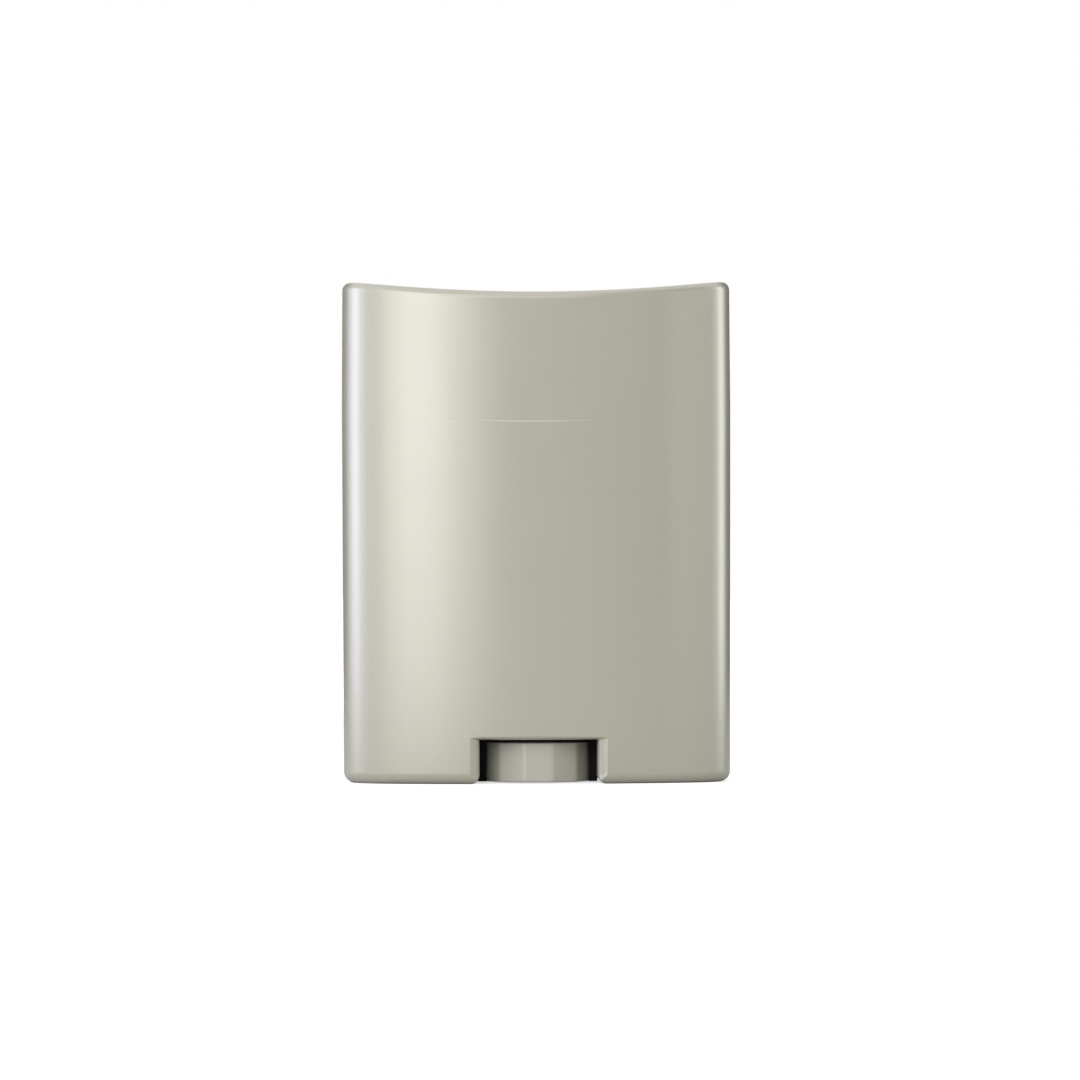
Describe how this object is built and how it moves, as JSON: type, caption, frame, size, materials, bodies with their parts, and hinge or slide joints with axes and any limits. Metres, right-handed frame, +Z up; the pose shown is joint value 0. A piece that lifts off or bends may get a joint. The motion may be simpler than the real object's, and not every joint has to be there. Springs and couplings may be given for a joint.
{
  "type": "sunscreen stick",
  "caption": "Flat oval dial-up balm stick with a dished lift-off cap, a rounded casing notched front and back, and a faceted turning knob under a screw-driven balm carriage.",
  "frame": {"origin": "middle of the foot, on the surface that the stick stands on", "axes": "+Z up through the cap, +X to the right of the front face, +Y from the front face to the back face"},
  "size_m": [0.064, 0.024, 0.0822],
  "materials": {
    "pearl_champagne": "satin pearl coating",
    "white_plastic": "smooth moulded white",
    "dark_plastic": "near-black moulded",
    "natural_plastic": "milky moulded",
    "seal_rubber": "matt seal",
    "balm": "waxy off-white"
  },
  "bodies": {
    "stick_body": {"outer_casing": "pearl_champagne", "dial_housing": "dark_plastic", "inner_barrel": "white_plastic", "spindle_seal": "seal_rubber"},
    "cap": {"cap_shell": "pearl_champagne", "cap_liner": "white_plastic"},
    "dial_drive": {"dial": "pearl_champagne", "lead_screw": "natural_plastic"},
    "balm_carriage": {"carriage": "natural_plastic", "balm_bar": "balm"}
  },
  "joints": [
    {"name": "cap_lift", "type": "slide", "parent": "stick_body", "child": "cap", "axis": [0, 0, 1], "range_m": [0, 0.045]},
    {"name": "dial_turn", "type": "hinge", "parent": "stick_body", "child": "dial_drive", "pos_m": [0, 0, 0], "axis": [0, 0, 1], "range_deg": [0, 1080]},
    {"name": "carriage_lift", "type": "slide", "parent": "stick_body", "child": "balm_carriage", "axis": [0, 0, 1], "range_m": [0, 0.012]}
  ],
  "couplings": [
    {"joint": "dial_turn", "follows": "carriage_lift", "rad_per_m": 1570.8}
  ]
}
